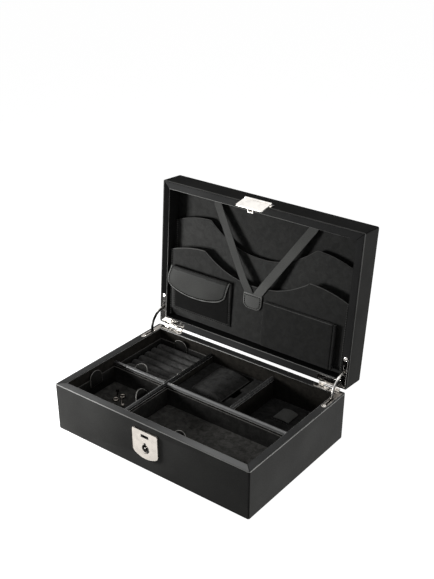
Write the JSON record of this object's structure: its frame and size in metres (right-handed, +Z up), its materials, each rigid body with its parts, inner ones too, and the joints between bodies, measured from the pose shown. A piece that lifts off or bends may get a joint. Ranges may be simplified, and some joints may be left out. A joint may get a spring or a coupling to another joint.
{
  "type": "watch and jewellery box",
  "caption": "Leather-covered watch and jewellery box with an open hinged lid, lift-out trays, ring rolls, a watch pad, document pockets and a keyed hasp lock.",
  "frame": {"origin": "middle of the base's underside", "axes": "+Z up, +X to the right seen from the front, the lock faces -Y"},
  "size_m": [0.32, 0.2712, 0.2974],
  "materials": {
    "shell_leather": "satin black grained leather",
    "rim_leather": "smooth black leather",
    "suede": "napped suede, brownish black",
    "tray_suede": "napped suede, black",
    "lid_suede": "fine suede, charcoal",
    "strap_leather": "matte charcoal leather",
    "nickel": "polished nickel",
    "dark_nickel": "nickel in the shade of the lock",
    "board": "covered board",
    "felt": "felt"
  },
  "bodies": {
    "base": {"base_carcass": "shell_leather", "base_bottom_board": "board", "base_felt": "felt", "base_rim": "rim_leather", "base_wall_lining": "suede", "base_floor_lining": "suede", "main_divider": "rim_leather", "left_cross_divider": "rim_leather", "right_cross_divider": "rim_leather", "short_divider": "rim_leather", "ring_tray_ledge": "suede", "key_tray_ledge": "suede", "wide_tray_ledge": "suede", "watch_pad": "suede", "small_pad": "suede", "strap_holder": "suede", "lock_plate": "nickel", "lock_case": "dark_nickel", "left_base_leaf": "nickel", "left_hinge_pin": "nickel", "left_base_screw": "nickel", "right_base_leaf": "nickel", "right_hinge_pin": "nickel", "right_base_screw": "nickel"},
    "lid": {"lid_carcass": "shell_leather", "lid_rim": "rim_leather", "lid_wall_lining": "lid_suede", "lid_lining_board": "lid_suede", "upper_pocket": "lid_suede", "lower_pocket": "lid_suede", "left_strap": "strap_leather", "right_strap": "strap_leather", "strap_tab": "strap_leather", "pouch": "lid_suede", "flat_pocket": "lid_suede", "left_lid_leaf": "nickel", "left_lid_screw": "nickel", "right_lid_leaf": "nickel", "right_lid_screw": "nickel", "hasp_bracket": "nickel"},
    "left_stay": {"left_stay": "nickel"},
    "right_stay": {"right_stay": "nickel"},
    "hasp_pin": {"hasp_pin": "nickel"},
    "hasp": {"hasp_plate": "nickel"},
    "flap": {"pouch_flap": "strap_leather"},
    "ring_tray": {"ring_tray": "tray_suede", "ring_pad": "suede", "ring_tray_back_tab": "strap_leather", "ring_tray_front_tab": "strap_leather"},
    "key_tray": {"key_tray": "tray_suede", "key_tray_left_tab": "strap_leather", "key_tray_right_tab": "strap_leather"},
    "wide_tray": {"wide_tray": "tray_suede", "wide_tray_tab": "strap_leather"},
    "watch_cuff": {"watch_cuff": "suede"},
    "lock_barrel": {"lock_barrel": "dark_nickel"},
    "lock_bolt": {"lock_bolt": "dark_nickel"},
    "key_one": {"key_one": "dark_nickel"},
    "key_two": {"key_two": "dark_nickel"}
  },
  "joints": [
    {"name": "lid_hinge", "type": "hinge", "parent": "base", "child": "lid", "pos_m": [0, 0.1103, 0.0733], "axis": [-1, 0, 0], "range_deg": [-94.38, 0]},
    {"name": "left_stay_pivot", "type": "hinge", "parent": "lid", "child": "left_stay", "pos_m": [-0.1535, 0.11485, 0.09992], "axis": [1, 0, 0], "range_deg": [-47.3, 0]},
    {"name": "right_stay_pivot", "type": "hinge", "parent": "lid", "child": "right_stay", "pos_m": [0.1535, 0.11485, 0.09992], "axis": [1, 0, 0], "range_deg": [-47.3, 0]},
    {"name": "hasp_sag", "type": "hinge", "parent": "lid", "child": "hasp_pin", "pos_m": [0, 0.12712, 0.29546], "axis": [1, 0, 0], "range_deg": [-13.35, 0]},
    {"name": "hasp_swing", "type": "hinge", "parent": "hasp_pin", "child": "hasp", "pos_m": [0, 0.12712, 0.29546], "axis": [-1, 0, 0], "range_deg": [0, 100]},
    {"name": "flap_hinge", "type": "hinge", "parent": "lid", "child": "flap", "pos_m": [-0.09075, 0.12084, 0.16907], "axis": [-1, 0, 0], "range_deg": [0, 90]},
    {"name": "ring_tray_lift", "type": "slide", "parent": "base", "child": "ring_tray", "axis": [0, 0, 1], "range_m": [0, 0.045]},
    {"name": "key_tray_lift", "type": "slide", "parent": "base", "child": "key_tray", "axis": [0, 0, 1], "range_m": [0, 0.045]},
    {"name": "wide_tray_lift", "type": "slide", "parent": "base", "child": "wide_tray", "axis": [0, 0, 1], "range_m": [0, 0.045]},
    {"name": "watch_cuff_lift", "type": "slide", "parent": "base", "child": "watch_cuff", "axis": [0, 0, 1], "range_m": [0, 0.03]},
    {"name": "lock_turn", "type": "hinge", "parent": "base", "child": "lock_barrel", "pos_m": [0, -0.108, 0.0375], "axis": [0, 1, 0], "range_deg": [0, 90]},
    {"name": "lock_throw", "type": "slide", "parent": "base", "child": "lock_bolt", "axis": [0, 0, 1], "range_m": [0, 0.0044]},
    {"name": "key_one_lift", "type": "slide", "parent": "key_tray", "child": "key_one", "axis": [0, 0, 1], "range_m": [0, 0.04]},
    {"name": "key_two_lift", "type": "slide", "parent": "key_tray", "child": "key_two", "axis": [0, 0, 1], "range_m": [0, 0.04]}
  ],
  "couplings": [
    {"joint": "left_stay_pivot", "follows": "lid_hinge", "ratio": 0.5},
    {"joint": "right_stay_pivot", "follows": "lid_hinge", "ratio": 0.5},
    {"joint": "hasp_sag", "follows": "lid_hinge", "ratio": 0.14092},
    {"joint": "lock_turn", "follows": "lock_throw", "rad_per_m": 357.14}
  ]
}
